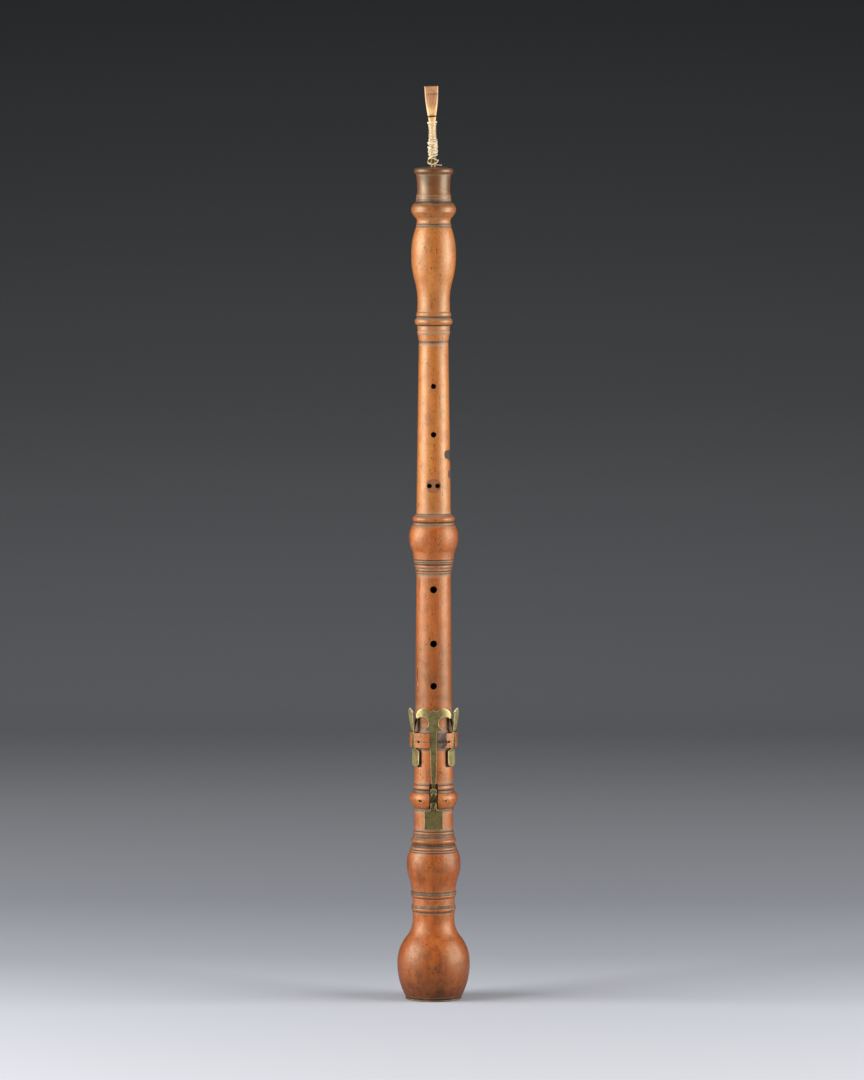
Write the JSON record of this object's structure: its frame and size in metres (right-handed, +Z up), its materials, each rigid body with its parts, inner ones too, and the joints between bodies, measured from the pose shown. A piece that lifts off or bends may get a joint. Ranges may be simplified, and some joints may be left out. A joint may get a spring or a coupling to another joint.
{
  "type": "oboe d'amore",
  "caption": "Turned boxwood oboe d'amore with a bulb-shaped bell, brass keys on turned rings, a crook and a thread-bound cane reed.",
  "frame": {"origin": "centre of the bell's base, where the instrument stands, on the bore's middle line", "axes": "+Z up along the bore to the reed; -Y is the side with the finger holes; +X is the viewer's right"},
  "size_m": [0.0552, 0.0552, 0.6918],
  "materials": {
    "boxwood_top": "oiled, worn gloss",
    "boxwood_lower": "oiled, worn gloss",
    "boxwood_bell": "oiled, worn gloss",
    "brass": "aged, rubbed bright on edges",
    "thread": "waxed",
    "leather": "matte",
    "cane": "scraped",
    "iron_wire": "dark"
  },
  "bodies": {
    "bell": {"bell": "boxwood_bell"},
    "lower": {"lower_joint": "boxwood_lower", "lower_tenon_lapping": "thread", "great_key_touch_pin": "brass", "great_key_flap_pin": "brass", "left_key_pin": "brass", "right_key_pin": "brass"},
    "top": {"top_joint": "boxwood_top", "upper_tenon_lapping": "thread"},
    "great_touch": {"great_key_touch": "brass", "great_key_touch_spring": "brass"},
    "great_flap": {"great_key_flap": "brass", "great_key_pad": "leather", "great_key_flap_spring": "brass"},
    "left_side_key": {"left_key": "brass", "left_key_pad": "leather", "left_key_spring": "brass"},
    "right_side_key": {"right_key": "brass", "right_key_pad": "leather", "right_key_spring": "brass"},
    "crook": {"crook": "brass", "crook_lapping": "thread"},
    "reed": {"staple": "brass", "front_blade": "cane", "back_blade": "cane", "reed_wire": "iron_wire", "binding_core": "thread", "reed_binding": "thread"}
  },
  "joints": [
    {"name": "lower_pull", "type": "slide", "parent": "bell", "child": "lower", "axis": [0, 0, 1], "range_m": [0, 0.03]},
    {"name": "top_pull", "type": "slide", "parent": "lower", "child": "top", "axis": [0, 0, 1], "range_m": [0, 0.03]},
    {"name": "crook_pull", "type": "slide", "parent": "top", "child": "crook", "axis": [-0.0244, 0, 0.9997], "range_m": [0, 0.0225]},
    {"name": "reed_pull", "type": "slide", "parent": "crook", "child": "reed", "axis": [-0.0244, 0, 0.9997], "range_m": [0, 0.0125]},
    {"name": "great_touch_hinge", "type": "hinge", "parent": "lower", "child": "great_touch", "pos_m": [0, -0.0142, 0.1972], "axis": [-1, 0, 0], "range_deg": [0, 2.95], "stiffness_Nm_per_rad": 0.1, "springref_deg": -8.59, "deforming": ["great_key_touch_spring"]},
    {"name": "great_flap_hinge", "type": "hinge", "parent": "lower", "child": "great_flap", "pos_m": [0, -0.0152, 0.1525], "axis": [1, 0, 0], "range_deg": [0, 14], "stiffness_Nm_per_rad": 0.01, "springref_deg": -11.46, "deforming": ["great_key_flap_spring"]},
    {"name": "left_key_hinge", "type": "hinge", "parent": "lower", "child": "left_side_key", "pos_m": [-0.01307, -0.00833, 0.1993], "axis": [-0.5373, 0.8434, 0], "range_deg": [0, 9], "stiffness_Nm_per_rad": 0.03, "springref_deg": -20.05, "deforming": ["left_key_spring"]},
    {"name": "right_key_hinge", "type": "hinge", "parent": "lower", "child": "right_side_key", "pos_m": [0.01307, -0.00833, 0.1993], "axis": [-0.5373, -0.8434, 0], "range_deg": [0, 9], "stiffness_Nm_per_rad": 0.03, "springref_deg": -20.05, "deforming": ["right_key_spring"]}
  ],
  "couplings": [
    {"joint": "great_flap_hinge", "follows": "great_touch_hinge", "ratio": 4.7308}
  ]
}
